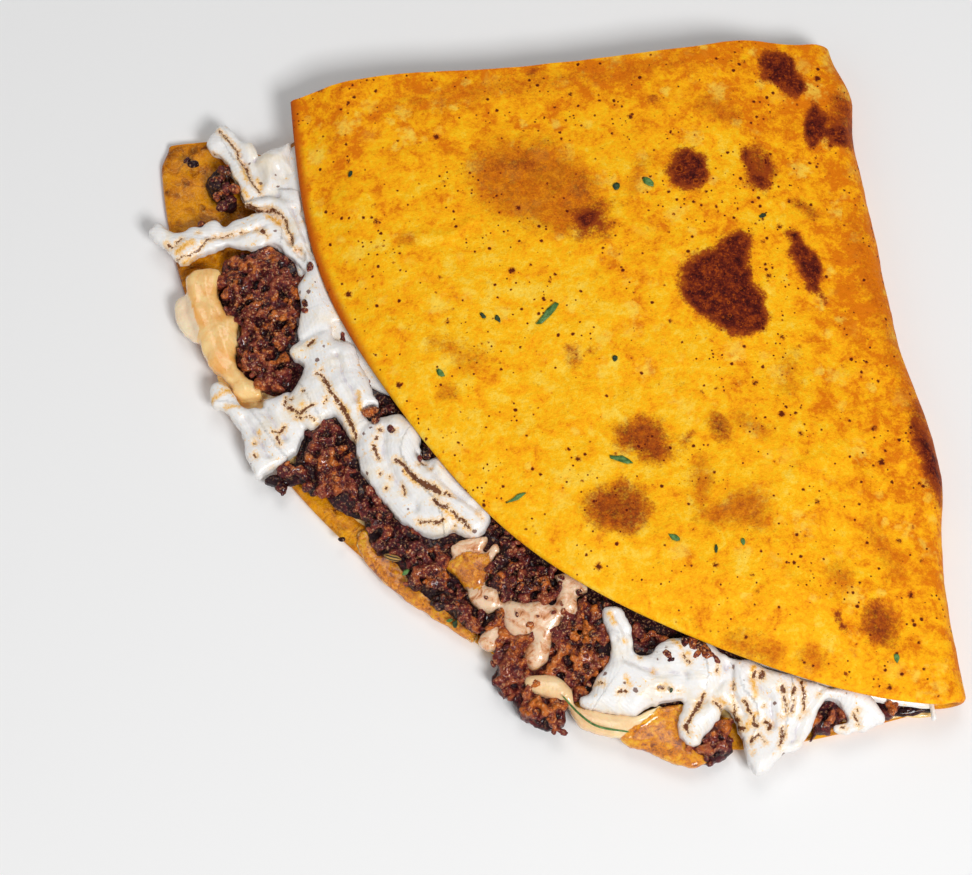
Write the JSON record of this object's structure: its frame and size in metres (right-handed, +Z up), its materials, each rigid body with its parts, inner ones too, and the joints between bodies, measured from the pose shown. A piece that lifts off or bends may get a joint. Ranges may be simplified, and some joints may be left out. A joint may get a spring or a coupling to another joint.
{
  "type": "quesadilla",
  "caption": "Folded flour tortilla wedge with ground beef and melted cheese, its longer lower flap showing a crescent of filling.",
  "frame": {"origin": "middle of the bounding box's bottom face, on the lower flap's flat underside", "axes": "+Z up through the wedge's thickness; the fold runs along Y on the +X side; the straight cut faces +Y; the round edge with the crescent of filling faces -X and -Y"},
  "size_m": [0.1358, 0.1404, 0.0139],
  "materials": {
    "tortilla": "satin",
    "melted_cheese": "gloss",
    "ground_beef": "gloss",
    "white_cheese": "gloss"
  },
  "bodies": {
    "root": {"tortilla": "tortilla", "melted_cheese": "melted_cheese", "ground_beef": "ground_beef", "white_cheese": "white_cheese"}
  },
  "joints": []
}
